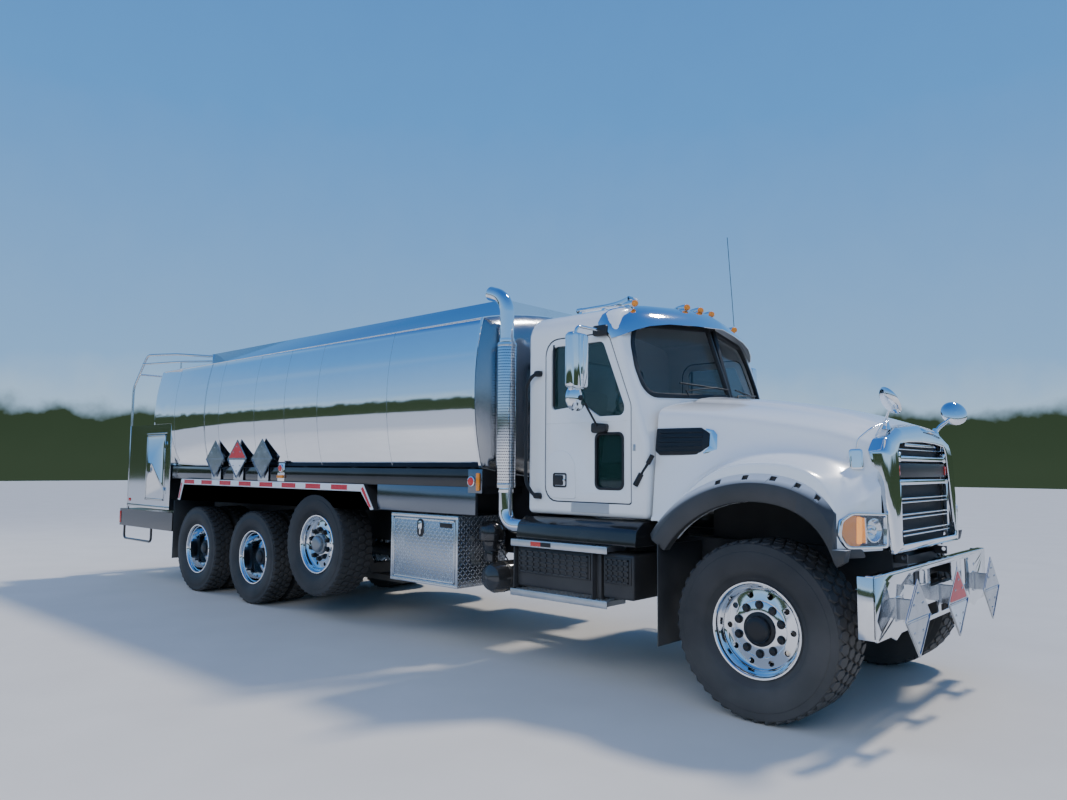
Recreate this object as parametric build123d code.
from build123d import *
import math
import os

os.makedirs("parts", exist_ok=True)

# Tanker truck with a bonneted cab, one steered axle, a raised pusher axle and a driven tandem.
# Millimetres. +X is forward, +Y is the truck's left, +Z is up. The origin is on the ground under
# the middle of the overall length and width.

# Lengthwise places of the axles and ends
FRONT_OVERHANG = 865
WHEELBASE = 6240
TANDEM_SPACING = 1370
REAR_OVERHANG = 2425
PUSHER_AHEAD = 1290
LENGTH = FRONT_OVERHANG + WHEELBASE + TANDEM_SPACING + REAR_OVERHANG
STEER_X = LENGTH / 2 - FRONT_OVERHANG
DRIVE_X = STEER_X - WHEELBASE
BOGIE_X = DRIVE_X - TANDEM_SPACING
PUSHER_X = DRIVE_X + PUSHER_AHEAD
NOSE_X = STEER_X + FRONT_OVERHANG
TAIL_X = BOGIE_X - REAR_OVERHANG
HALF_WIDTH = 1225

# Wheels and tyres
STEER_DIAMETER = 1124
STEER_WIDTH = 420
STEER_Y = HALF_WIDTH - 195
PUSHER_DIAMETER = 1070
PUSHER_WIDTH = 385
PUSHER_Y = HALF_WIDTH - 195
PUSHER_LIFT = 225
DRIVE_DIAMETER = 1050
DRIVE_WIDTH = 280
DRIVE_OUTER_Y = HALF_WIDTH - 150
DRIVE_INNER_Y = DRIVE_OUTER_Y - 330
RIM_RADIUS = 285
RIM_WALL = 14
FLANGE_HEIGHT = 20
FLANGE_WIDTH = 12
STEER_Z = STEER_DIAMETER / 2
PUSHER_Z = PUSHER_DIAMETER / 2 + PUSHER_LIFT
DRIVE_Z = DRIVE_DIAMETER / 2
SPINDLE_RADIUS = 45
RUNNING_FIT = 0.05
KINGPIN_Y = STEER_Y - 170
KINGPIN_RADIUS = 25

# Frame
RAIL_Y = 430
RAIL_HEIGHT = 270
RAIL_WIDTH = 85
RAIL_WALL = 10
RAIL_TOP = 1050
RAIL_FRONT = STEER_X + 600
RAIL_REAR = TAIL_X + 150
CROSS_SPACING = 1150

# Cab
CAB_REAR = STEER_X - 2080
CAB_FRONT = STEER_X - 900
CAB_HALF = HALF_WIDTH - 165
CAB_BOTTOM = 1200
CAB_WALL = 60
ROOF_CROWN = 2880
ROOF_SIDE = ROOF_CROWN - 240
ROOF_SHOULDER_Y = CAB_HALF - 200
ROOF_SHOULDER_Z = ROOF_CROWN - 55
SCREEN_FOOT_X = STEER_X - 790
SCREEN_FOOT_Z = 2120
SCREEN_RAKE = 0.317
SCREEN_SWEEP = 0.2143
SCREEN_TOP = ROOF_CROWN - 190
SCREEN_HALF = CAB_HALF - 120
POST_HALF = 22
GLASS = 8
DOOR_REAR = STEER_X - 1880
DOOR_FRONT = STEER_X - 1046
DOOR_TOP_FRONT = STEER_X - 1257
DOOR_BEND = 2040
DOOR_BOTTOM = 1310
DOOR_TOP = ROOF_SIDE - 40
DOOR_GAP = 6
DOOR_FRAME = 58
DOOR_HINGES = (1400, 1880)
HINGE_RADIUS = 11
HINGE_PIN = 6
HINGE_LENGTH = 45
HINGE_LEAF = 42

# Hood, one tilting moulding with its fenders
HOOD_REAR = STEER_X - 880
HOOD_FRONT = STEER_X + 612
HOOD_SKIN = 25
HOOD_SKIRT_Z = 1220
HOOD_PIVOT_X = STEER_X + 660
HOOD_PIVOT_Z = 1005
PIVOT_RADIUS = 15
EAR_REACH = 20
FENDER_RADIUS = 1045
ARCH_RADIUS = 800
FENDER_Y = HALF_WIDTH - 75
FENDER_INNER_Y = 700
FENDER_REAR = STEER_X - 690
FENDER_FRONT = STEER_X + 655
FENDER_FOOT = 1070
FENDER_SWEEP = 0.30
FLARE_SETBACK = 80
LAMP_INNER_Y = 760
LAMP_OUTER_Y = 1130
FLARE_RADIUS = 920
FLARE_Y = HALF_WIDTH - 10

# Bumper
BUMPER_X = STEER_X + 745
BUMPER_TOP = 965
BUMPER_BOTTOM = 590
BUMPER_HALF = HALF_WIDTH - 20
BUMPER_PLATE = 12
TOW_EYE_Z = 535
TOW_EYE_RADIUS = 16
TOW_EYE_WIDTH = 30

# Tank
TANK_FRONT = STEER_X - 2550
TANK_REAR = STEER_X - 8930
LAST_SEAM = STEER_X - 8359
TANK_HALF = HALF_WIDTH - 5
TANK_WAIST_Z = 2200
TANK_CHINE_Y = TANK_HALF - 90
TANK_CHINE_Z = 1570
TANK_FLOOR_Z = 1470
TANK_CROWN_Z = 3000
TANK_SHOULDER_Y = TANK_HALF - 92
TANK_SHOULDER_Z = TANK_CROWN_Z - 132
FRONT_DISH = 230
REAR_DISH = 620

# Sills along the tank's lower edges, and the skirts that hang below them behind the cab
SILL_FACE_Y = HALF_WIDTH - 35
SILL_TOP = 1555
SKIRT_SHEET = 20
SKIRT_REAR = STEER_X - 3920
SKIRT_BOTTOM = 1160

# Tray and rails on the tank's top
TRAY_HALF = 800
TRAY_FOOT_HALF = TRAY_HALF + 50
TRAY_FOOT_Z = TANK_CROWN_Z - 150
TRAY_TOP = TANK_CROWN_Z + 90
TRAY_FRONT = STEER_X - 2600
TRAY_REAR = STEER_X - 8130
SHEET = 6
RAIL_TUBE = 32
RAIL_PEAK = TRAY_TOP + 100

# Rear cabinets and bumper
CABINET_FRONT = STEER_X - 8440
CABINET_REAR = STEER_X - 9820
CABINET_HALF = HALF_WIDTH - 20
CABINET_INNER = CABINET_HALF - 425
CABINET_BOTTOM = 977
CABINET_TOP = 2130
CABINET_WALL = 30
CABINET_DOOR_FRONT = STEER_X - 8600
CABINET_DOOR_REAR = STEER_X - 9220
CABINET_DOOR_BOTTOM = 1090
CABINET_DOOR_TOP = 1990
CABINET_HINGES = (1180, 1800)
LIGHT_BOX_FRONT = STEER_X - 8300
LIGHT_BOX_BOTTOM = 700
LIGHT_BOX_TOP = 940
REAR_STEP_Z = 510

# Rear fenders
FENDER_TOP = 1395

# Toolbox
TOOLBOX_FRONT = STEER_X - 2750
TOOLBOX_REAR = STEER_X - 3670
TOOLBOX_BOTTOM = 530
TOOLBOX_TOP = 1145
TOOLBOX_INNER = 620
TOOLBOX_WALL = 25


def block(x0, x1, y0, y1, z0, z1):
    size = Box(abs(x1 - x0), abs(y1 - y0), abs(z1 - z0))
    return Pos((x0 + x1) / 2, (y0 + y1) / 2, (z0 + z1) / 2) * size


def side_prism(outline, y0, y1):
    face = make_face(Polyline(*[(x, y0, z) for x, z in outline], close=True))
    return extrude(face, amount=y1 - y0, dir=(0, 1, 0))


def front_prism(outline, x0, x1):
    face = make_face(Polyline(*[(x0, y, z) for y, z in outline], close=True))
    return extrude(face, amount=x1 - x0, dir=(1, 0, 0))


def plan_prism(outline, z0, z1):
    face = make_face(Polyline(*[(x, y, z0) for x, y in outline], close=True))
    return extrude(face, amount=z1 - z0, dir=(0, 0, 1))


def cylinder_x(x0, x1, y, z, radius):
    return Pos((x0 + x1) / 2, y, z) * Rot(0, 90, 0) * Cylinder(radius, abs(x1 - x0))


def cylinder_y(x, y0, y1, z, radius):
    return Pos(x, (y0 + y1) / 2, z) * Rot(90, 0, 0) * Cylinder(radius, abs(y1 - y0))


def cylinder_z(x, y, z0, z1, radius):
    return Pos(x, y, (z0 + z1) / 2) * Cylinder(radius, abs(z1 - z0))


def tube(points, diameter, bend):
    path = FilletPolyline(*points, radius=bend) if len(points) > 2 else Polyline(*points)
    section = Plane(origin=path @ 0, z_dir=path % 0) * Circle(diameter / 2)
    return sweep(section, path=path)


def other_side(shape):
    return mirror(shape, about=Plane.XZ)


def both_sides(shape):
    return group(shape, other_side(shape))


def group(*shapes):
    return Compound([solid for shape in shapes for solid in shape.solids()])


# A hinge of the kind that stands on a panel's face: pin_x and pin_y place its upright pin. The fixed
# half is a knuckle with a leaf toward +X, and the moving half an upper knuckle with a leaf toward -X.
def fixed_hinge(pin_x, face_y, side, z):
    pin_y = face_y + side * (HINGE_RADIUS + 1)
    y0, y1 = sorted((face_y, face_y + side * 8))
    half = cylinder_z(pin_x, pin_y, z, z + HINGE_LENGTH, HINGE_RADIUS)
    half += block(pin_x, pin_x + HINGE_LEAF, y0, y1, z, z + HINGE_LENGTH)
    return half - cylinder_z(pin_x, pin_y, z - 5, z + HINGE_LENGTH + 5, HINGE_PIN + RUNNING_FIT)


def moving_hinge(pin_x, face_y, side, z):
    pin_y = face_y + side * (HINGE_RADIUS + 1)
    y0, y1 = sorted((face_y, face_y + side * 8))
    low, high = z + HINGE_LENGTH + 1, z + 2 * HINGE_LENGTH
    half = cylinder_z(pin_x, pin_y, low, high, HINGE_RADIUS)
    half += block(pin_x - HINGE_LEAF, pin_x, y0, y1, low, high)
    return half + cylinder_z(pin_x, pin_y, z, low + 1, HINGE_PIN)


def keep(name, shape):
    export_step(shape, "parts/" + name + ".step")


# Tyres, each turned about its axle from one section
def tyre(x, y, z, diameter, width):
    radius = diameter / 2
    bead = width * 0.36
    tread = width * 0.43
    shoulder = radius - 28
    foot = RIM_RADIUS + FLANGE_HEIGHT + 2
    middle = (foot + shoulder) / 2
    right = Polyline((x + RIM_RADIUS, y - bead, z), (x + foot, y - bead, z))
    right_wall = ThreePointArc((x + foot, y - bead, z), (x + middle, y - width / 2, z),
                               (x + shoulder, y - width * 0.47, z))
    crown = Polyline((x + shoulder, y - width * 0.47, z), (x + radius, y - tread, z),
                     (x + radius, y + tread, z), (x + shoulder, y + width * 0.47, z))
    left_wall = ThreePointArc((x + shoulder, y + width * 0.47, z), (x + middle, y + width / 2, z),
                              (x + foot, y + bead, z))
    left = Polyline((x + foot, y + bead, z), (x + RIM_RADIUS, y + bead, z),
                    (x + RIM_RADIUS, y - bead, z))
    return revolve(make_face([right, right_wall, crown, left_wall, left]),
                   axis=Axis((x, y, z), (0, 1, 0)))


# Wheels: barrel with its two flanges, pierced disc, hub and cap, bored for the spindle.
# side is -1 on the right and 1 on the left.
def ring(x, y0, y1, z, outer, inner):
    return cylinder_y(x, y0, y1, z, outer) - cylinder_y(x, y0 - 1, y1 + 1, z, inner)


def barrel(x, y, z, width):
    half = width * 0.36
    outer = half + FLANGE_WIDTH
    body = ring(x, y - outer, y + outer, z, RIM_RADIUS, RIM_RADIUS - RIM_WALL)
    for edge in (y - outer, y + half):
        body += ring(x, edge, edge + FLANGE_WIDTH, z, RIM_RADIUS + FLANGE_HEIGHT, RIM_RADIUS - RIM_WALL)
    return body


def disc(x, y, z, thickness):
    plate = cylinder_y(x, y - thickness / 2, y + thickness / 2, z, RIM_RADIUS - RIM_WALL + 1)
    for turn in range(10):
        angle = math.radians(36 * turn)
        hx, hz = x + 215 * math.cos(angle), z + 215 * math.sin(angle)
        plate -= cylinder_y(hx, y - thickness, y + thickness, hz, 29)
    return plate


def single_wheel(x, y, z, width, side, hub_end):
    face = y + side * (width * 0.36 - 62)
    wheel = barrel(x, y, z, width) + disc(x, face, z, 22)
    wheel += cylinder_y(x, y - side * 60, face + side * 60, z, 118)
    wheel += cylinder_y(x, face + side * 59, side * hub_end, z, 88)
    bore_end = face + side * 30
    return wheel - cylinder_y(x, y - side * 400, bore_end, z, SPINDLE_RADIUS + RUNNING_FIT)


def dual_wheel(x, z, side):
    outer_y, inner_y = side * DRIVE_OUTER_Y, side * DRIVE_INNER_Y
    middle = (outer_y + inner_y) / 2
    wheel = barrel(x, outer_y, z, DRIVE_WIDTH) + barrel(x, inner_y, z, DRIVE_WIDTH)
    for step in (-11, 11):
        wheel += disc(x, middle + side * step, z, 22)
    for barrel_y, sign in ((outer_y, -1), (inner_y, 1)):
        edge = barrel_y + side * sign * (DRIVE_WIDTH * 0.36 + FLANGE_WIDTH)
        wheel += ring(x, min(edge, middle), max(edge, middle), z, RIM_RADIUS, RIM_RADIUS - RIM_WALL)
    wheel += cylinder_y(x, middle - side * 160, middle + side * 120, z, 132)
    wheel += cylinder_y(x, middle + side * 119, middle + side * 205, z, 92)
    bore_end = middle + side * 100
    return wheel - cylinder_y(x, side * 400, bore_end, z, SPINDLE_RADIUS + RUNNING_FIT)


SIDES = (("right", -1), ("left", 1))
for hand, side in SIDES:
    keep("front_tyre_" + hand, tyre(STEER_X, side * STEER_Y, STEER_Z, STEER_DIAMETER, STEER_WIDTH))
    keep("front_wheel_" + hand,
         single_wheel(STEER_X, side * STEER_Y, STEER_Z, STEER_WIDTH, side, STEER_Y + 165))
    keep("pusher_tyre_" + hand, tyre(PUSHER_X, side * PUSHER_Y, PUSHER_Z, PUSHER_DIAMETER, PUSHER_WIDTH))
    keep("pusher_wheel_" + hand,
         single_wheel(PUSHER_X, side * PUSHER_Y, PUSHER_Z, PUSHER_WIDTH, side, PUSHER_Y + 165))
    for axle, axle_x in (("drive", DRIVE_X), ("bogie", BOGIE_X)):
        keep(axle + "_tyres_" + hand,
             group(*[tyre(axle_x, side * y, DRIVE_Z, DRIVE_DIAMETER, DRIVE_WIDTH)
                     for y in (DRIVE_OUTER_Y, DRIVE_INNER_Y)]))
        keep(axle + "_wheels_" + hand, dual_wheel(axle_x, DRIVE_Z, side))

# Steering knuckles: a fork on the kingpin, the spindle and a steering arm
FORK_HALF = 110
EYE_HALF = 62
KNUCKLE_WEB_Y = KINGPIN_Y + 70


def knuckle(side):
    pin_y, web_y = side * KINGPIN_Y, side * KNUCKLE_WEB_Y
    y0, y1 = sorted((side * (KINGPIN_Y - 45), web_y))
    fork = block(STEER_X - 45, STEER_X + 45, y0, y1, STEER_Z - FORK_HALF, STEER_Z + FORK_HALF)
    slot0, slot1 = sorted((side * (KINGPIN_Y - 60), side * (KNUCKLE_WEB_Y - 22)))
    fork -= block(STEER_X - 60, STEER_X + 60, slot0, slot1, STEER_Z - EYE_HALF - 6, STEER_Z + EYE_HALF + 6)
    fork += cylinder_z(STEER_X, pin_y, STEER_Z - FORK_HALF, STEER_Z + FORK_HALF, KINGPIN_RADIUS)
    fork += cylinder_y(STEER_X, web_y - side, side * (STEER_Y + STEER_WIDTH * 0.36 - 40), STEER_Z,
                       SPINDLE_RADIUS)
    arm_y0, arm_y1 = sorted((side * (KINGPIN_Y - 40), side * (KINGPIN_Y + 10)))
    fork += block(STEER_X - 210, STEER_X - 40, arm_y0, arm_y1, STEER_Z - FORK_HALF,
                  STEER_Z - FORK_HALF + 30)
    return fork


for hand, side in SIDES:
    keep("knuckle_" + hand, knuckle(side))

# Front axle: a dropped beam with an eye at each kingpin, and a leaf pack on each side
SPRING_WIDTH = 85
SPRING_HALF = 640
BEAM_Z = 430
BEAM_HEIGHT = 100
eye_y = KINGPIN_Y
beam = front_prism([(-700, BEAM_Z), (700, BEAM_Z), (790, STEER_Z - EYE_HALF), (eye_y, STEER_Z - EYE_HALF),
                    (eye_y, STEER_Z + EYE_HALF), (760, STEER_Z + EYE_HALF), (660, BEAM_Z + BEAM_HEIGHT),
                    (-660, BEAM_Z + BEAM_HEIGHT), (-760, STEER_Z + EYE_HALF), (-eye_y, STEER_Z + EYE_HALF),
                    (-eye_y, STEER_Z - EYE_HALF), (-790, STEER_Z - EYE_HALF)], STEER_X - 45, STEER_X + 45)
for side in (-1, 1):
    beam += cylinder_z(STEER_X, side * eye_y, STEER_Z - EYE_HALF, STEER_Z + EYE_HALF, 45)
    beam -= cylinder_z(STEER_X, side * eye_y, 0, 2 * STEER_Z, KINGPIN_RADIUS + RUNNING_FIT)
    spring = side_prism([(STEER_X - SPRING_HALF, 700), (STEER_X - 200, 590),
                         (STEER_X - 200, BEAM_Z + BEAM_HEIGHT),
                         (STEER_X + 200, BEAM_Z + BEAM_HEIGHT), (STEER_X + 200, 590),
                         (STEER_X + SPRING_HALF - 120, 700), (STEER_X + SPRING_HALF - 120, 735),
                         (STEER_X, 640), (STEER_X - SPRING_HALF, 735)],
                        side * RAIL_Y - SPRING_WIDTH / 2, side * RAIL_Y + SPRING_WIDTH / 2)
    beam += spring
keep("front_axle", beam)

# Pusher and drive axles with their spindles, and the drive line
HOUSING_END = 560
HOUSING_RADIUS = 70
DIFFERENTIAL_RADIUS = 190
SHAFT_RADIUS = 50
spindle_end = (DRIVE_OUTER_Y + DRIVE_INNER_Y) / 2 + 90
rear_drive = cylinder_x(BOGIE_X, DRIVE_X, 0, DRIVE_Z + 20, SHAFT_RADIUS)
rear_drive += cylinder_x(DRIVE_X, STEER_X - 780, 0, DRIVE_Z + 60, SHAFT_RADIUS)
for axle_x in (DRIVE_X, BOGIE_X):
    rear_drive += cylinder_y(axle_x, -HOUSING_END, HOUSING_END, DRIVE_Z, HOUSING_RADIUS)
    rear_drive += cylinder_y(axle_x, -spindle_end, spindle_end, DRIVE_Z, SPINDLE_RADIUS)
    rear_drive += Pos(axle_x, 0, DRIVE_Z) * Sphere(DIFFERENTIAL_RADIUS)
rear_drive += block(STEER_X - 1500, STEER_X - 780, -180, 180, 520, 1010)
PUSHER_DROP = 300
PUSHER_BEAM = 55
bend_inner, bend_outer = RAIL_Y + 75, HOUSING_END + 90
low_z = PUSHER_Z - PUSHER_DROP
pusher = front_prism([(-bend_outer, PUSHER_Z - PUSHER_BEAM), (-bend_inner, low_z - PUSHER_BEAM),
                      (bend_inner, low_z - PUSHER_BEAM), (bend_outer, PUSHER_Z - PUSHER_BEAM),
                      (bend_outer + 60, PUSHER_Z - PUSHER_BEAM), (bend_outer + 60, PUSHER_Z + PUSHER_BEAM),
                      (bend_outer - 30, PUSHER_Z + PUSHER_BEAM), (bend_inner - 30, low_z + PUSHER_BEAM),
                      (30 - bend_inner, low_z + PUSHER_BEAM), (30 - bend_outer, PUSHER_Z + PUSHER_BEAM),
                      (-bend_outer - 60, PUSHER_Z + PUSHER_BEAM), (-bend_outer - 60, PUSHER_Z - PUSHER_BEAM)],
                     PUSHER_X - PUSHER_BEAM, PUSHER_X + PUSHER_BEAM)
pusher_end = PUSHER_Y + PUSHER_WIDTH * 0.36 - 40
for side in (-1, 1):
    pusher += cylinder_y(PUSHER_X, side * bend_outer, side * pusher_end, PUSHER_Z, SPINDLE_RADIUS)
keep("rear_axles", group(rear_drive, pusher))

# Rear suspension: an equaliser beam on each side and air springs on the pusher
SADDLE_X = (DRIVE_X + BOGIE_X) / 2
springs = []
for side in (-1, 1):
    y0, y1 = side * RAIL_Y - 45, side * RAIL_Y + 45
    lever = side_prism([(BOGIE_X - 90, DRIVE_Z + HOUSING_RADIUS), (DRIVE_X + 90, DRIVE_Z + HOUSING_RADIUS),
                        (DRIVE_X + 90, DRIVE_Z + HOUSING_RADIUS + 70), (SADDLE_X + 150, RAIL_TOP - RAIL_HEIGHT),
                        (SADDLE_X - 150, RAIL_TOP - RAIL_HEIGHT), (BOGIE_X - 90, DRIVE_Z + HOUSING_RADIUS + 70)],
                       y0, y1)
    springs.append(lever)
    arm_top = low_z - PUSHER_BEAM
    arm = side_prism([(PUSHER_X + 470, RAIL_TOP - RAIL_HEIGHT), (PUSHER_X + 470, arm_top),
                      (PUSHER_X - 330, arm_top), (PUSHER_X - 330, arm_top - 60), (PUSHER_X + 570, arm_top - 60),
                      (PUSHER_X + 570, RAIL_TOP - RAIL_HEIGHT)], y0, y1)
    springs.append(arm + cylinder_z(PUSHER_X - 230, side * RAIL_Y, arm_top, RAIL_TOP - RAIL_HEIGHT, 95))
keep("rear_suspension", group(*springs))

# Frame: two channel rails, crossmembers, cab mounts and the tank's sills and bearers
CHANNEL = [(0, 0), (RAIL_WIDTH, 0), (RAIL_WIDTH, RAIL_WALL), (RAIL_WALL, RAIL_WALL),
           (RAIL_WALL, RAIL_HEIGHT - RAIL_WALL), (RAIL_WIDTH, RAIL_HEIGHT - RAIL_WALL),
           (RAIL_WIDTH, RAIL_HEIGHT), (0, RAIL_HEIGHT)]
rail_web = RAIL_Y + RAIL_WIDTH / 2
rail = front_prism([(rail_web - y, RAIL_TOP - RAIL_HEIGHT + z) for y, z in CHANNEL], RAIL_REAR, RAIL_FRONT)
frame = rail + other_side(rail)
cross_x = RAIL_REAR + 60
while cross_x < CAB_FRONT - 200:
    if abs(cross_x - PUSHER_X) > 200:
        frame += block(cross_x - 40, cross_x + 40, -rail_web + RAIL_WALL, rail_web - RAIL_WALL,
                       RAIL_TOP - 200, RAIL_TOP - 60)
    cross_x += CROSS_SPACING
frame += block(RAIL_FRONT - 90, RAIL_FRONT, -rail_web, rail_web, RAIL_TOP - 220, RAIL_TOP - 60)
for mount_x in (CAB_REAR + 120, CAB_FRONT - 120):
    for side in (-1, 1):
        y0, y1 = side * RAIL_Y - 40, side * RAIL_Y + 40
        frame += block(mount_x - 50, mount_x + 50, y0, y1, RAIL_TOP, CAB_BOTTOM)
for side in (-1, 1):
    spring_hanger = block(STEER_X - SPRING_HALF, STEER_X - SPRING_HALF + 60, side * RAIL_Y - 42,
                          side * RAIL_Y + 42, 735, RAIL_TOP - RAIL_HEIGHT)
    front_hanger = block(STEER_X + SPRING_HALF - 180, STEER_X + SPRING_HALF - 120, side * RAIL_Y - 42,
                         side * RAIL_Y + 42, 735, RAIL_TOP - RAIL_HEIGHT)
    frame += spring_hanger + front_hanger


for side in (-1, 1):
    ear = block(RAIL_FRONT - 60, HOOD_PIVOT_X + EAR_REACH, side * RAIL_Y - 10, side * RAIL_Y + 10, 970,
                HOOD_PIVOT_Z + EAR_REACH)
    frame += ear - cylinder_y(HOOD_PIVOT_X, side * RAIL_Y - 40, side * RAIL_Y + 40, HOOD_PIVOT_Z,
                              PIVOT_RADIUS + RUNNING_FIT)


# Tank: rolled courses with crisp shoulders and two dished heads. The last course, which the cabinets
# are let into, is welded on at its seam.
def tank_section(x, scale):
    middle_z = TANK_WAIST_Z

    def at(y, z):
        return (x, y * scale, middle_z + (z - middle_z) * scale)

    edges = [ThreePointArc(at(-TANK_CHINE_Y, TANK_CHINE_Z), at(-TANK_HALF, TANK_WAIST_Z),
                           at(-TANK_SHOULDER_Y, TANK_SHOULDER_Z)),
             ThreePointArc(at(-TANK_SHOULDER_Y, TANK_SHOULDER_Z), at(0, TANK_CROWN_Z),
                           at(TANK_SHOULDER_Y, TANK_SHOULDER_Z)),
             ThreePointArc(at(TANK_SHOULDER_Y, TANK_SHOULDER_Z), at(TANK_HALF, TANK_WAIST_Z),
                           at(TANK_CHINE_Y, TANK_CHINE_Z)),
             ThreePointArc(at(TANK_CHINE_Y, TANK_CHINE_Z), at(0, TANK_FLOOR_Z),
                           at(-TANK_CHINE_Y, TANK_CHINE_Z))]
    return make_face(edges)


def head(x, depth, toward):
    shares = (0, 0.45, 0.75, 0.93, 0.99)
    faces = [tank_section(x + toward * depth * share, math.sqrt(1 - share * share)) for share in shares]
    return loft(faces, ruled=False)


recess = block(CABINET_REAR, CABINET_FRONT, -HALF_WIDTH - 50, -CABINET_INNER, CABINET_BOTTOM, CABINET_TOP)
recess = recess + other_side(recess)
rear_course = extrude(tank_section(TANK_REAR, 1), amount=LAST_SEAM - TANK_REAR, dir=(1, 0, 0))
rear_course = (rear_course + head(TANK_REAR, REAR_DISH, -1)) - recess
front_courses = extrude(tank_section(LAST_SEAM, 1), amount=TANK_FRONT - LAST_SEAM, dir=(1, 0, 0))
front_courses += head(TANK_FRONT, FRONT_DISH, 1)
keep("tank_shell", group(front_courses, rear_course))

# Tank cradle: two box sills on the frame and saddles shaped to the shell's underside
cradle = []
SILL_WIDTH = 90
SADDLES = 8
tank_span = TANK_FRONT - TANK_REAR
for index in range(SADDLES):
    saddle_x = TANK_REAR + 120 + (tank_span - 240) * index / (SADDLES - 1)
    cradle.append(block(saddle_x - 30, saddle_x + 30, -TANK_CHINE_Y + 15, TANK_CHINE_Y - 15,
                        RAIL_TOP + 350, 1600))
sills = block(TANK_REAR, TANK_FRONT, RAIL_Y - SILL_WIDTH / 2, RAIL_Y + SILL_WIDTH / 2, RAIL_TOP, 1520)
edge_sill = block(LAST_SEAM - 40, TANK_FRONT, TANK_CHINE_Y - 60, SILL_FACE_Y, FENDER_TOP, SILL_TOP)
skirt = block(SKIRT_REAR, TANK_FRONT, SILL_FACE_Y - SKIRT_SHEET, SILL_FACE_Y, SKIRT_BOTTOM, SILL_TOP)
for hanger_x in (SKIRT_REAR + 150, TANK_FRONT - 150):
    skirt += block(hanger_x - 20, hanger_x + 20, RAIL_Y, SILL_FACE_Y - 1, FENDER_TOP - 60, FENDER_TOP)
body = sills + other_side(sills) + edge_sill + other_side(edge_sill) + skirt + other_side(skirt)
for saddle in cradle:
    body += saddle
keep("chassis_frame", frame + (body - front_courses - rear_course - recess))

# Top tray: the spill rail's two walls with end plates, standing on the crown
wall = front_prism([(-TRAY_HALF, TRAY_TOP), (-TRAY_FOOT_HALF, TRAY_FOOT_Z),
                    (-TRAY_FOOT_HALF + 10, TRAY_FOOT_Z), (-TRAY_HALF + 10, TRAY_TOP - 5),
                    (-TRAY_HALF + 45, TRAY_TOP - 5), (-TRAY_HALF + 45, TRAY_TOP)],
                   TRAY_REAR, TRAY_FRONT)
tray = wall + other_side(wall)
for plate_x in (TRAY_REAR, TRAY_FRONT - SHEET):
    tray += block(plate_x, plate_x + SHEET, -TRAY_FOOT_HALF + 12, TRAY_FOOT_HALF - 12, TRAY_FOOT_Z, TRAY_TOP - 5)
tray = tray - front_courses - rear_course

# Manway covers with their collars, in line along the top
covers = []
MANWAY_COUNT = 4
COVER_RADIUS = 300
COVER_Z = TANK_CROWN_Z + 50
for index in range(MANWAY_COUNT):
    cover_x = TRAY_REAR + (TRAY_FRONT - TRAY_REAR) * (index + 0.5) / MANWAY_COUNT
    collar = cylinder_z(cover_x, 0, TANK_CROWN_Z - 40, COVER_Z, COVER_RADIUS - 30) - front_courses
    covers.append(collar + cylinder_z(cover_x, 0, COVER_Z, COVER_Z + 25, COVER_RADIUS))
keep("manway_covers", group(*covers))

# Rear rails: hoops from the tray down to the rear bumper on each side, and a ladder
hoop_foot_x = TAIL_X + 145
hoop = tube([(TRAY_REAR, -TRAY_HALF + 25, TRAY_TOP - 25), (TRAY_REAR - 200, -TRAY_HALF + 25, TRAY_TOP - 25),
             (TAIL_X + 1000, -930, RAIL_PEAK - 40), (TAIL_X + 330, 185 - HALF_WIDTH, RAIL_PEAK),
             (hoop_foot_x, 60 - HALF_WIDTH, 2700), (hoop_foot_x, 60 - HALF_WIDTH, LIGHT_BOX_TOP)], RAIL_TUBE, 60)
LADDER_X = TAIL_X + 60
LADDER_Y = (230, 640)
RUNG_SPACING = 300
ladder = []
for y in LADDER_Y:
    ladder.append(tube([(LADDER_X, y, LIGHT_BOX_TOP), (LADDER_X, y, 2740), (LADDER_X + 700, y, TRAY_TOP - 40),
                        (TRAY_REAR, y, TRAY_TOP - 40)], RAIL_TUBE, 150))
steps = ladder[0] + ladder[1]
rung_z = LIGHT_BOX_TOP + RUNG_SPACING
while rung_z < 2700:
    steps += cylinder_y(LADDER_X, LADDER_Y[0], LADDER_Y[1], rung_z, 12)
    rung_z += RUNG_SPACING
keep("top_tray_and_rails", tray + hoop + other_side(hoop) + steps)

# Rear cabinets, one on each side, hollow with a door opening in the outer wall
def cabinet(side):
    y0, y1 = sorted((side * CABINET_INNER, side * CABINET_HALF))
    outer = block(CABINET_REAR, CABINET_FRONT, y0, y1, CABINET_BOTTOM, CABINET_TOP)
    inner = block(CABINET_REAR + CABINET_WALL, CABINET_FRONT - CABINET_WALL, y0 + CABINET_WALL,
                  y1 - CABINET_WALL, CABINET_BOTTOM + CABINET_WALL, CABINET_TOP - CABINET_WALL)
    hole0, hole1 = sorted((side * (CABINET_HALF - CABINET_WALL - 5), side * (CABINET_HALF + 5)))
    opening = block(CABINET_DOOR_REAR, CABINET_DOOR_FRONT, hole0, hole1, CABINET_DOOR_BOTTOM,
                    CABINET_DOOR_TOP)
    walls = outer - inner - opening
    for z in CABINET_HINGES:
        walls += fixed_hinge(CABINET_DOOR_FRONT - DOOR_GAP, side * CABINET_HALF, side, z)
    return walls


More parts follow.
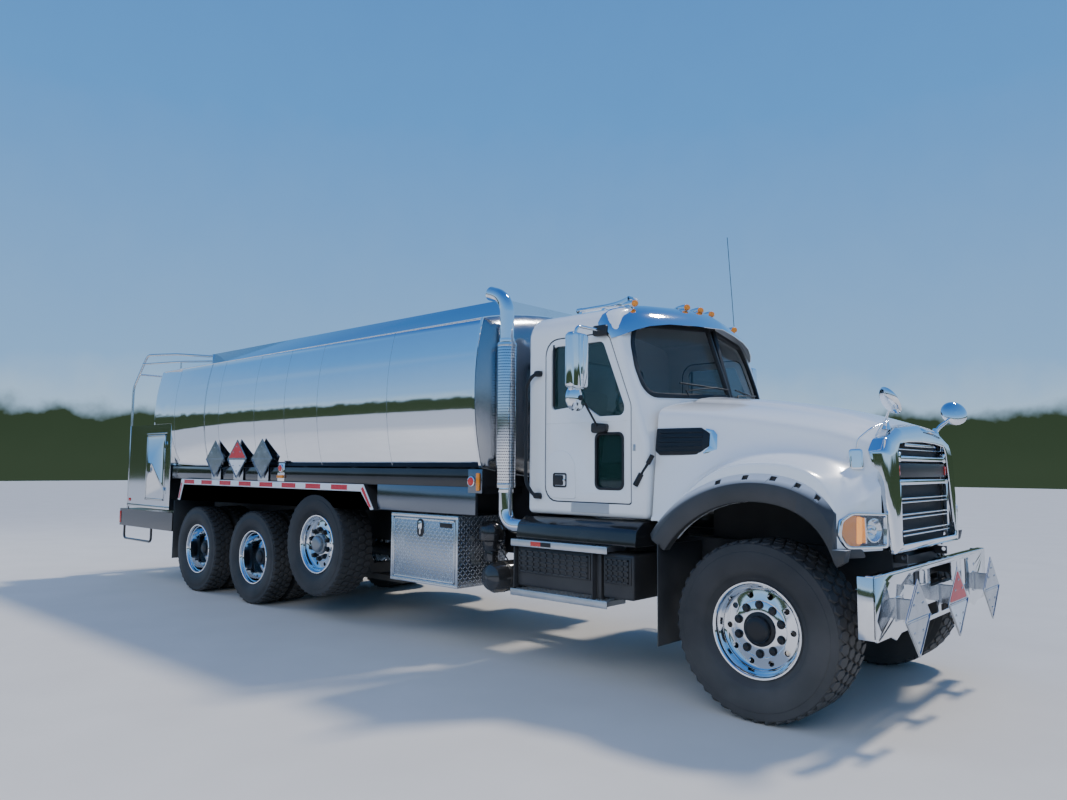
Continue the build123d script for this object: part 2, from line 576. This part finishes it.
def cabinet_door(side):
    y0, y1 = sorted((side * (CABINET_HALF - CABINET_WALL), side * CABINET_HALF))
    panel = block(CABINET_DOOR_REAR + DOOR_GAP, CABINET_DOOR_FRONT - DOOR_GAP, y0, y1,
                  CABINET_DOOR_BOTTOM + DOOR_GAP, CABINET_DOOR_TOP - DOOR_GAP)
    k0, k1 = sorted((side * CABINET_HALF, side * (CABINET_HALF + 14)))
    handle = block(CABINET_DOOR_REAR + 60, CABINET_DOOR_REAR + 170, k0, k1, 1480, 1600)
    for z in CABINET_HINGES:
        panel += moving_hinge(CABINET_DOOR_FRONT - DOOR_GAP, side * CABINET_HALF, side, z)
    return panel + handle


keep("rear_cabinets", both_sides(cabinet(-1)))
for hand, side in SIDES:
    keep("cabinet_door_" + hand, cabinet_door(side))

# Rear light boxes and bumper
boxes = block(TAIL_X + 20, LIGHT_BOX_FRONT, -CABINET_HALF - 10, -TANK_CHINE_Y + 150, LIGHT_BOX_BOTTOM,
              LIGHT_BOX_TOP)
step_y = -CABINET_HALF + 40
boxes += tube([(TAIL_X + 60, step_y, LIGHT_BOX_BOTTOM + 20), (TAIL_X + 60, step_y, REAR_STEP_Z),
               (TAIL_X + 980, step_y, REAR_STEP_Z), (TAIL_X + 980, step_y, LIGHT_BOX_BOTTOM + 20)], RAIL_TUBE, 60)
cross = block(TAIL_X, TAIL_X + 120, -CABINET_HALF - 10, CABINET_HALF + 10, LIGHT_BOX_BOTTOM, LIGHT_BOX_TOP)
keep("rear_bumper", boxes + other_side(boxes) + cross)

# Rear fenders: one folded sheet on each side over all three rear axles
FENDER_STRIP = 70
fender_line = [(STEER_X - 3940, 1160), (STEER_X - 4110, FENDER_TOP), (STEER_X - 8060, FENDER_TOP),
               (STEER_X - 8150, 1125)]
outer_line = fender_line + [(x + dx, z + dz) for (x, z), dx, dz in zip(reversed(fender_line), (10, 7, -7, -10),
                                                                    (0, -8, -8, 0))]
fender = side_prism(outer_line, -HALF_WIDTH + 5, -600)
keep("rear_fenders", both_sides(fender))


# Cab shell
def screen_plane(side, inset):
    foot = Vector(SCREEN_FOOT_X, 0, SCREEN_FOOT_Z)
    along = Vector(-SCREEN_SWEEP, side, 0).normalized()
    up = Vector(-SCREEN_RAKE, 0, 1).normalized()
    normal = along.cross(up).normalized() * (-side)
    if normal.X < 0:
        normal = normal * -1
    return Plane(origin=foot - normal * inset, x_dir=along, z_dir=normal)


def cab_solid(inset):
    half, floor = CAB_HALF - inset, CAB_BOTTOM + inset
    top, side_top = ROOF_CROWN - inset, ROOF_SIDE - inset * 0.3
    shoulder_y, shoulder_z = ROOF_SHOULDER_Y - inset * 0.3, ROOF_SHOULDER_Z - inset
    x0, x1 = CAB_REAR + inset, SCREEN_FOOT_X + 200
    middle = ((half + shoulder_y) / 2 + 35, (side_top + shoulder_z) / 2 + 35)
    edges = [Polyline((x0, -half, side_top), (x0, -half, floor), (x0, half, floor), (x0, half, side_top)),
             ThreePointArc((x0, half, side_top), (x0, *middle), (x0, shoulder_y, shoulder_z)),
             ThreePointArc((x0, shoulder_y, shoulder_z), (x0, 0, top), (x0, -shoulder_y, shoulder_z)),
             ThreePointArc((x0, -shoulder_y, shoulder_z), (x0, -middle[0], middle[1]), (x0, -half, side_top))]
    solid = extrude(make_face(edges), amount=x1 - x0, dir=(1, 0, 0))
    for side in (-1, 1):
        plane = screen_plane(side, inset)
        solid -= plane * Pos(0, 0, 1000) * Box(5000, 5000, 2000)
    below = block(CAB_FRONT - inset, x1 + 10, -2000, 2000, 0, SCREEN_FOOT_Z - 20 + inset)
    return solid - below


DOOR_OUTLINE = [(DOOR_REAR, DOOR_BOTTOM), (DOOR_FRONT, DOOR_BOTTOM), (DOOR_FRONT, DOOR_BEND),
                (DOOR_TOP_FRONT, DOOR_TOP), (DOOR_REAR, DOOR_TOP)]
WINDOW_OUTLINE = [(DOOR_REAR + DOOR_FRAME, 2030), (DOOR_FRONT - 260, 2030), (DOOR_FRONT - DOOR_FRAME, 1960),
                  (DOOR_FRONT - DOOR_FRAME, DOOR_BEND), (DOOR_TOP_FRONT - DOOR_FRAME + 12, DOOR_TOP - DOOR_FRAME),
                  (DOOR_REAR + DOOR_FRAME, DOOR_TOP - DOOR_FRAME)]
PEEP_OUTLINE = [(STEER_X - 1377, 1410), (STEER_X - 1110, 1410), (STEER_X - 1110, 1835),
                (STEER_X - 1377, 1835)]


def outline_grown(outline, gap):
    face = make_face(Polyline(*[(x, z) for x, z in outline], close=True))
    return offset(face, amount=gap, kind=Kind.INTERSECTION)


def outline_prism(outline, gap, y0, y1):
    face = Plane(origin=(0, 0, 0), x_dir=(1, 0, 0), z_dir=(0, -1, 0)) * outline_grown(outline, gap)
    return Pos(0, y1, 0) * extrude(face, amount=y1 - y0, dir=(0, -1, 0))


def screen_pane(side, thickness, depth):
    low, high = 60, (SCREEN_TOP - SCREEN_FOOT_Z) * 1.02
    width = SCREEN_HALF - 60
    pane = Pos((POST_HALF + width) / 2, 0, 0) * Box(width - POST_HALF, high - low, thickness)
    return screen_plane(side, depth) * Pos(0, side * (low + high) / 2, 0) * pane


cab = cab_solid(0) - cab_solid(CAB_WALL)
for side in (-1, 1):
    y0, y1 = sorted((side * (CAB_HALF - CAB_WALL - 20), side * (CAB_HALF + 20)))
    cab -= outline_prism(DOOR_OUTLINE, DOOR_GAP, y0, y1)
    cab -= screen_pane(side, CAB_WALL * 3, CAB_WALL / 2)
    for z in DOOR_HINGES:
        cab += fixed_hinge(DOOR_FRONT, side * CAB_HALF, side, z)
REAR_WINDOW = (-560, 560, 2080, 2520)
cab -= block(CAB_REAR - 20, CAB_REAR + CAB_WALL + 20, *REAR_WINDOW)
keep("cab_shell", cab)
panes = [screen_pane(side, GLASS, CAB_WALL / 2) for side in (-1, 1)]
panes.append(block(CAB_REAR + 26, CAB_REAR + 34, *REAR_WINDOW))
keep("cab_glass", group(*panes))


def door(side):
    y0, y1 = sorted((side * (CAB_HALF - CAB_WALL), side * CAB_HALF))
    panel = outline_prism(DOOR_OUTLINE, 0, y0, y1)
    for opening in (WINDOW_OUTLINE, PEEP_OUTLINE):
        panel -= outline_prism(opening, 0, y0 - 5, y1 + 5)
    for z in DOOR_HINGES:
        panel += moving_hinge(DOOR_FRONT, side * CAB_HALF, side, z)
    h0, h1 = sorted((side * CAB_HALF, side * (CAB_HALF + 30)))
    return panel + block(STEER_X - 1790, STEER_X - 1660, h0, h1, 1430, 1500)


def door_glass(side):
    y0, y1 = sorted((side * (CAB_HALF - 34), side * (CAB_HALF - 26)))
    return group(outline_prism(WINDOW_OUTLINE, 0, y0, y1), outline_prism(PEEP_OUTLINE, 0, y0, y1))


MIRROR_Y = 1350
MIRROR_X = STEER_X - 1340


def mirror_set(side):
    top, low = 2610, 1900
    frame_tube = tube([(MIRROR_X, side * CAB_HALF, top), (MIRROR_X, side * MIRROR_Y, top),
                       (MIRROR_X, side * MIRROR_Y, low), (MIRROR_X, side * CAB_HALF, low)], 24, 60)
    y0, y1 = sorted((side * (MIRROR_Y - 105), side * (MIRROR_Y + 105)))
    head_box = block(MIRROR_X - 15, MIRROR_X + 55, y0, y1, 2160, 2560)
    convex = cylinder_x(MIRROR_X - 15, MIRROR_X + 45, side * MIRROR_Y, 2065, 80)
    return frame_tube + head_box + convex


for hand, side in SIDES:
    keep("door_" + hand, door(side))
    keep("door_glass_" + hand, door_glass(side))
    mirrors = mirror_set(side)
    if side > 0:
        mirrors += tube([(MIRROR_X, 1120, 2600), (MIRROR_X - 80, 1120, 3860)], 10, 1)
    keep("mirror_" + hand, mirrors)

# Hood: a shell lofted through four sections, with a fender box over each front wheel.
# Each row holds x, half width at the skirt, half width at the shoulder, shoulder z, crown z.
HOOD_SECTIONS = ((HOOD_REAR, 1040, 930, 2030, 2150),
                 (STEER_X - 300, 985, 860, 1975, 2095),
                 (STEER_X + 250, 860, 745, 1885, 1995),
                 (HOOD_FRONT, 735, 660, 1775, 1885))


def hood_solid(inset, rear, front):
    faces = []
    for x, skirt, shoulder, shoulder_z, crown in HOOD_SECTIONS:
        place = min(max(x, rear), front)
        edges = [Polyline((place, -shoulder + inset, shoulder_z - inset), (place, -skirt + inset, HOOD_SKIRT_Z),
                          (place, skirt - inset, HOOD_SKIRT_Z), (place, shoulder - inset, shoulder_z - inset)),
                 ThreePointArc((place, shoulder - inset, shoulder_z - inset), (place, 0, crown - inset),
                               (place, -shoulder + inset, shoulder_z - inset))]
        faces.append(make_face(edges))
    return loft(faces, ruled=True)


hood = hood_solid(0, HOOD_REAR, HOOD_FRONT) - hood_solid(HOOD_SKIN, HOOD_REAR, HOOD_FRONT)
grown = hood_solid(0, HOOD_REAR, HOOD_FRONT)


def swept(front, y0, y1, reach, z0, z1):
    """A prism whose rear face lies on the fender's swept front, between two widths on the right."""
    face = [(front - FENDER_SWEEP * (-y - LAMP_INNER_Y), y) for y in (y0, y1)]
    return plan_prism(face + [(x + reach, y) for x, y in reversed(face)], z0, z1)


def fender_profile(radius, rear, front, foot, y0, y1):
    wheel_house = cylinder_y(STEER_X, y0, y1, STEER_Z, radius)
    limit = block(rear, front, y0, y1, foot, 2500)
    corner = block(STEER_X + 300, front, y0, y1, foot, 1365 + radius - FENDER_RADIUS)
    return (wheel_house & limit) + corner - swept(front, -1400, -LAMP_INNER_Y, 500, -100, 2600)


arch = cylinder_y(STEER_X, -2000, 2000, STEER_Z, ARCH_RADIUS)
fender = fender_profile(FENDER_RADIUS, FENDER_REAR, FENDER_FRONT, FENDER_FOOT, -FENDER_Y, -FENDER_INNER_Y)
fender -= fender_profile(FENDER_RADIUS - HOOD_SKIN, FENDER_REAR + HOOD_SKIN, FENDER_FRONT - HOOD_SKIN, 0,
                         -FENDER_Y + HOOD_SKIN, 0)
fender -= arch
fender -= grown
fender -= block(HOOD_FRONT, HOOD_FRONT + 80, -740, 740, FENDER_FOOT - 60, 1830)
wedge = [(STEER_X - 3000, -1400), (SCREEN_FOOT_X + 15 - SCREEN_SWEEP * 1400, -1400), (SCREEN_FOOT_X + 15, 0),
         (SCREEN_FOOT_X + 15 - SCREEN_SWEEP * 1400, 1400), (STEER_X - 3000, 1400)]
hood = hood + fender + other_side(fender) - plan_prism(wedge, 1000, 2600)
nose_arch = cylinder_y(STEER_X, -2000, -FENDER_INNER_Y - 60, STEER_Z, ARCH_RADIUS)
hood = hood - nose_arch - other_side(nose_arch)
keep("hood_shell", hood)

# Black flare round each wheel opening
flare = ring(STEER_X, -FLARE_Y, -FENDER_Y, STEER_Z, FLARE_RADIUS, ARCH_RADIUS)
flare &= block(FENDER_REAR, FENDER_FRONT - FLARE_SETBACK, -FLARE_Y, -FENDER_Y, FENDER_FOOT, 2000)
keep("fender_flares", both_sides(flare))

# Grille: chrome surround and slats across the nose
surround = front_prism([(-733, 1815), (-696, 1040), (696, 1040), (733, 1815)], HOOD_FRONT, HOOD_FRONT + 70)
surround -= front_prism([(-543, 1750), (-594, 1105), (594, 1105), (543, 1750)], HOOD_FRONT - 10,
                        HOOD_FRONT + 80)
for index in range(9):
    bar_z = 1150 + index * 66
    surround += block(HOOD_FRONT + 20, HOOD_FRONT + 50, -600, 600, bar_z, bar_z + 18)
for side in (-1, 1):
    lug0, lug1 = sorted((side * (RAIL_Y + 16), side * (RAIL_Y + 46)))
    surround += block(HOOD_PIVOT_X - 18, HOOD_PIVOT_X + 18, lug0, lug1, HOOD_PIVOT_Z - 19, 1060)
    pin0, pin1 = sorted((side * (RAIL_Y - 10), side * (RAIL_Y + 20)))
    surround += cylinder_y(HOOD_PIVOT_X, pin0, pin1, HOOD_PIVOT_Z, PIVOT_RADIUS)
keep("grille", surround)
keep("head_lamps", both_sides(swept(FENDER_FRONT, -LAMP_OUTER_Y, -LAMP_INNER_Y, 25, 1095, 1295)))

# Bumper, a pressed plate with returned ends, openings and hooks below
bumper = block(BUMPER_X - BUMPER_PLATE, BUMPER_X, -BUMPER_HALF, BUMPER_HALF, BUMPER_BOTTOM, BUMPER_TOP)
bumper += block(BUMPER_X - 60, BUMPER_X, -BUMPER_HALF, BUMPER_HALF, BUMPER_TOP - 12, BUMPER_TOP)
bumper -= block(BUMPER_X - 100, BUMPER_X + 10, -190, 300, 805, 928)
bumper -= block(BUMPER_X - 100, BUMPER_X + 10, -270, -30, 620, 700)
bumper -= block(BUMPER_X - 100, BUMPER_X + 10, 30, 270, 620, 700)
for side in (-1, 1):
    bumper += block(RAIL_FRONT, BUMPER_X - BUMPER_PLATE, side * RAIL_Y - 30, side * RAIL_Y + 30, 840, 940)
    eye = block(BUMPER_X - 72, BUMPER_X - BUMPER_PLATE, side * RAIL_Y - TOW_EYE_WIDTH / 2,
                side * RAIL_Y + TOW_EYE_WIDTH / 2, TOW_EYE_Z - 35, BUMPER_BOTTOM + 60)
    bumper += eye - cylinder_y(BUMPER_X - 42, side * RAIL_Y - 60, side * RAIL_Y + 60, TOW_EYE_Z,
                               TOW_EYE_RADIUS)
keep("front_bumper", bumper)

# Blank diamond placards: three ahead of the bumper
PLACARD_HALF = 235
placards = []
for y in (-825, 15, 890):
    board = front_prism([(y, 700 - PLACARD_HALF), (y + PLACARD_HALF, 700), (y, 700 + PLACARD_HALF),
                         (y - PLACARD_HALF, 700)], NOSE_X - 8, NOSE_X)
    placards.append(board + block(BUMPER_X, NOSE_X - 7, y - 20, y + 20, 680, 800))

# Engine, one plain block, and the radiator core
keep("engine_block", block(STEER_X - 780, STEER_X + 420, -330, 330, RAIL_TOP - 230, 1700))
keep("radiator", block(STEER_X + 480, STEER_X + 560, -420, 420, RAIL_TOP, 1700))

# Toolbox with its door
box = block(TOOLBOX_REAR, TOOLBOX_FRONT, -HALF_WIDTH + 20, -TOOLBOX_INNER, TOOLBOX_BOTTOM, TOOLBOX_TOP)
box -= block(TOOLBOX_REAR + TOOLBOX_WALL, TOOLBOX_FRONT - TOOLBOX_WALL, -HALF_WIDTH,
             -TOOLBOX_INNER - TOOLBOX_WALL, TOOLBOX_BOTTOM + TOOLBOX_WALL, TOOLBOX_TOP - TOOLBOX_WALL)
box += block(TOOLBOX_REAR + 200, TOOLBOX_REAR + 260, -TOOLBOX_INNER, -rail_web, 850, 950)
box += block(TOOLBOX_FRONT - 260, TOOLBOX_FRONT - 200, -TOOLBOX_INNER, -rail_web, 850, 950)
pin_y = -HALF_WIDTH + 20 - HINGE_RADIUS - 1
pin_z = TOOLBOX_BOTTOM + TOOLBOX_WALL + DOOR_GAP
face_y = -HALF_WIDTH + 20
TOOLBOX_HINGES = (TOOLBOX_REAR + 150, TOOLBOX_FRONT - 240)
for x in TOOLBOX_HINGES:
    knuckle_half = cylinder_x(x, x + HINGE_LENGTH, pin_y, pin_z, HINGE_RADIUS)
    knuckle_half += block(x, x + HINGE_LENGTH, face_y - 8, face_y, TOOLBOX_BOTTOM, pin_z)
    box += knuckle_half - cylinder_x(x - 5, x + HINGE_LENGTH + 5, pin_y, pin_z, HINGE_PIN + RUNNING_FIT)
keep("toolbox", box)
lid = block(TOOLBOX_REAR + TOOLBOX_WALL + DOOR_GAP, TOOLBOX_FRONT - TOOLBOX_WALL - DOOR_GAP, -HALF_WIDTH + 20,
            -HALF_WIDTH + 45, TOOLBOX_BOTTOM + TOOLBOX_WALL + DOOR_GAP, TOOLBOX_TOP - TOOLBOX_WALL - DOOR_GAP)
for x in TOOLBOX_HINGES:
    low, high = x + HINGE_LENGTH + 1, x + 2 * HINGE_LENGTH
    lid += cylinder_x(low, high, pin_y, pin_z, HINGE_RADIUS)
    lid += block(low, high, face_y - 8, face_y, pin_z, pin_z + HINGE_LEAF)
    lid += cylinder_x(x, low + 1, pin_y, pin_z, HINGE_PIN)
keep("toolbox_door", lid)

# Steps, one pair under each door, with the boxes and covers between and above them
STEP_FRONT = STEER_X - 1150
STEP_REAR = STEER_X - 2115
STEP_OUTER = HALF_WIDTH - 10
STEP_DEPTH = 240
BOX_OUTER = HALF_WIDTH - 50
UPPER_STEP_Z = 960
LOWER_STEP_Z = 570
STEP_HEIGHT = 40


def step_pair(side):
    y0, y1 = sorted((side * STEP_OUTER, side * (STEP_OUTER - STEP_DEPTH)))
    upper = block(STEP_REAR, STEP_FRONT, y0, y1, UPPER_STEP_Z, UPPER_STEP_Z + STEP_HEIGHT)
    return group(upper, block(STEP_REAR, STEP_FRONT, y0, y1, LOWER_STEP_Z, LOWER_STEP_Z + STEP_HEIGHT))


def side_box(side):
    y0, y1 = sorted((side * BOX_OUTER, side * 560))
    y2, y3 = sorted((side * 560, side * rail_web))
    lower = block(STEP_REAR + 10, STEER_X - 1310, y0, y1, LOWER_STEP_Z + STEP_HEIGHT, UPPER_STEP_Z)
    lower += block(STEP_REAR + 60, STEER_X - 1400, y2, y3, 820, 940)
    front = block(STEER_X - 1240, STEER_X - 940, y0, y1, LOWER_STEP_Z + STEP_HEIGHT, 920)
    front += block(STEER_X - 1200, STEER_X - 1000, y2, y3, 820, 900)
    cover = front_prism([(side * (BOX_OUTER - 175), UPPER_STEP_Z + STEP_HEIGHT),
                         (side * (BOX_OUTER - 25), UPPER_STEP_Z + STEP_HEIGHT),
                         (side * (BOX_OUTER - 10), 1110), (side * (BOX_OUTER - 55), 1185), (side * 640, 1185), (side * 640, 960),
                         (side * 950, 960), (side * 950, UPPER_STEP_Z + STEP_HEIGHT)],
                        STEER_X - 2100, STEER_X - 930)
    cover += block(STEER_X - 1950, STEER_X - 1850, *sorted((side * 640, side * rail_web)), 980, 1040)
    return group(lower, front, cover)


keep("cab_steps", group(step_pair(-1), step_pair(1)))
keep("side_covers", group(side_box(-1), side_box(1)))

# Fuel tank on the left, on two brackets from the rail
FUEL_RADIUS = 320
FUEL_Y = 890
FUEL_Z = 800
FUEL_FRONT = STEER_X - 2700
FUEL_REAR = STEER_X - 3850
fuel = cylinder_x(FUEL_REAR, FUEL_FRONT, FUEL_Y, FUEL_Z, FUEL_RADIUS)
for x in (FUEL_REAR + 220, FUEL_FRONT - 280):
    fuel += cylinder_x(x, x + 60, FUEL_Y, FUEL_Z, FUEL_RADIUS + 6)
    fuel += block(x, x + 60, rail_web, FUEL_Y - 200, 800, 1000)
keep("fuel_tank", fuel)

# Exhaust: from the cover under the cab up to a turned elbow, with a pierced shield round the pipe
STACK_X = STEER_X - 2325
STACK_Y = -1065
STACK_RADIUS = 62
SHIELD_RADIUS = 85
SHIELD_LOW = 1400
SHIELD_HIGH = 2630
STACK_TOP = 3030
stack = tube([(STEER_X - 2100, STACK_Y, 1090), (STACK_X, STACK_Y, 1090), (STACK_X, STACK_Y, STACK_TOP),
              (STACK_X - 200, STACK_Y, STACK_TOP + 60)], 2 * STACK_RADIUS, 110)
shield = cylinder_z(STACK_X, STACK_Y, SHIELD_LOW, SHIELD_HIGH, SHIELD_RADIUS)
stack += shield
keep("exhaust_stack", stack)

# Air dryer and air tank behind the cab on the right
dryer = cylinder_z(STEER_X - 2550, -1000, 850, 1110, 108)
dryer += block(STEER_X - 2600, STEER_X - 2500, -910, -rail_web, 880, 960)
reservoir = cylinder_y(STEER_X - 2480, -1110, -500, 640, 130)
reservoir += block(STEER_X - 2520, STEER_X - 2440, -600, -rail_web, 700, 860)
keep("air_tanks", group(dryer, reservoir))

# Flaps behind the last wheels, and guards behind the front wheels
flap = block(LIGHT_BOX_FRONT, LIGHT_BOX_FRONT + 8, -HALF_WIDTH + 25, -640, 350, 1110)
guard = side_prism([(STEER_X - 705, 360), (STEER_X - 697, 360), (STEER_X - 697, 965), (STEER_X - 668, 1050),
                    (STEER_X - 676, 1053), (STEER_X - 705, 970)], -HALF_WIDTH - 10, -640)
guard += block(STEER_X - 940, STEER_X - 704, -760, -700, 650, 720)
keep("mud_flaps", group(flap, other_side(flap), guard, other_side(guard)))

# Blank diamond placards on stands along each rear fender
side_boards = []
for x in (STEER_X - 7150, STEER_X - 6600, STEER_X - 6030):
    board = side_prism([(x, 1650 - PLACARD_HALF), (x + PLACARD_HALF, 1650), (x, 1650 + PLACARD_HALF),
                        (x - PLACARD_HALF, 1650)], -HALF_WIDTH - 12, -HALF_WIDTH - 4)
    side_boards.append(board + block(x - 15, x + 15, -HALF_WIDTH - 5, -HALF_WIDTH + 10, FENDER_TOP, 1600))
keep("placards", group(*placards, both_sides(group(*side_boards))))

# Cab furnishing: two seats, the dashboard and the steering wheel
seats = []
for y in (-560, 560):
    seat = block(STEER_X - 1900, STEER_X - 1420, y - 250, y + 250, 1480, 1600)
    seat += side_prism([(STEER_X - 1900, 1500), (STEER_X - 1790, 1500), (STEER_X - 1880, 2250),
                        (STEER_X - 1960, 2250)], y - 240, y + 240)
    seat += block(STEER_X - 1800, STEER_X - 1500, y - 180, y + 180, CAB_BOTTOM + CAB_WALL, 1480)
    seats.append(seat)
dash = side_prism([(CAB_FRONT - CAB_WALL, 1560), (CAB_FRONT - CAB_WALL, 2090), (CAB_FRONT - 190, 2060),
                   (CAB_FRONT - 260, 1900), (CAB_FRONT - 200, 1560)], -960, 960)
dash &= cab_solid(CAB_WALL)
dash += tube([(CAB_FRONT - 230, 540, 1840), (STEER_X - 1380, 540, 1930)], 50, 1)
wheel_plane = Plane(origin=(STEER_X - 1380, 540, 1930), z_dir=(-0.85, 0, 0.5))
dash += wheel_plane * Torus(215, 15)
dash += wheel_plane * Box(420, 40, 16)
keep("cab_interior", group(dash, *seats))

# Marker lamps along the roof's front edge
lamps = []
for x, y in ((-1225, -800), (-1120, -200), (-1110, 0), (-1120, 200), (-1225, 800)):
    lamp = block(STEER_X + x - 60, STEER_X + x + 60, y - 28, y + 28, ROOF_CROWN - 80, ROOF_CROWN + 32)
    lamps.append(lamp - cab_solid(0))
keep("marker_lamps", group(*lamps))

# Drop visor along the top of the windshield
visor = []
for side in (-1, 1):
    plane = Plane(origin=(STEER_X - 1010, 0, ROOF_CROWN - 30),
                  x_dir=Vector(-SCREEN_SWEEP, side, 0).normalized(),
                  z_dir=Vector(0.53, side * 0.53 * SCREEN_SWEEP, 0.84).normalized())
    strip = plane * Pos(500, side * 10, 12) * Box(1060, 250, 6)
    visor.append(strip & block(STEER_X - 1400, STEER_X, *sorted((0, side * 1000)), 2500, 3000))
visor = visor[0] + visor[1] - cab_solid(0)
for lamp in lamps:
    visor -= lamp
keep("sun_visor", visor)

# Air horn with a square bell, on two feet
HORN_Y = -450
HORN_Z = ROOF_CROWN + 80
horn = cylinder_x(STEER_X - 2050, STEER_X - 1700, HORN_Y, HORN_Z, 20)
horn += loft([Plane.YZ.offset(STEER_X - 1701) * Pos(HORN_Y, HORN_Z) * Rectangle(36, 36),
              Plane.YZ.offset(STEER_X - 1450) * Pos(HORN_Y, HORN_Z) * Rectangle(150, 90)], ruled=True)
for x in (STEER_X - 2000, STEER_X - 1750):
    horn += block(x - 20, x + 20, HORN_Y - 20, HORN_Y + 20, ROOF_CROWN - 80, HORN_Z) - cab_solid(0)
keep("air_horn", horn)

# Round mirrors on the hood's front corners
hood_mirrors = []
arm = tube([(HOOD_FRONT - 60, -600, 1780), (HOOD_FRONT - 20, -690, 1900), (HOOD_FRONT + 100, -745, 2000)],
           24, 40)
glass = cylinder_x(HOOD_FRONT + 90, HOOD_FRONT + 130, -745, 2000, 98)
hood_mirrors = arm + glass - grown
keep("hood_mirrors", both_sides(hood_mirrors))

# Outlet: a riser from the rear head's floor to a flanged valve pipe pointing rearward
OUTLET_X = STEER_X - 9250
OUTLET_END = TAIL_X + 170
OUTLET_Z = 1250
FLANGE_RADIUS = 114
FLANGE_PCD = 190.5
FLANGE_HOLES = 8
FLANGE_HOLE_RADIUS = 9.5
outlet = cylinder_z(OUTLET_X, 0, OUTLET_Z, 1800, 57) + cylinder_x(OUTLET_END, OUTLET_X, 0, OUTLET_Z, 57)
outlet += Pos(OUTLET_X, 0, OUTLET_Z) * Sphere(57)
outlet += cylinder_x(OUTLET_END, OUTLET_END + 24, 0, OUTLET_Z, FLANGE_RADIUS)
for index in range(FLANGE_HOLES):
    angle = math.radians(22.5 + 45 * index)
    outlet -= cylinder_x(OUTLET_END - 5, OUTLET_END + 30, FLANGE_PCD / 2 * math.cos(angle),
                         OUTLET_Z + FLANGE_PCD / 2 * math.sin(angle), FLANGE_HOLE_RADIUS)
outlet -= cylinder_x(OUTLET_END - 5, OUTLET_X, 0, OUTLET_Z, 51)
keep("outlet_pipe", outlet - rear_course)
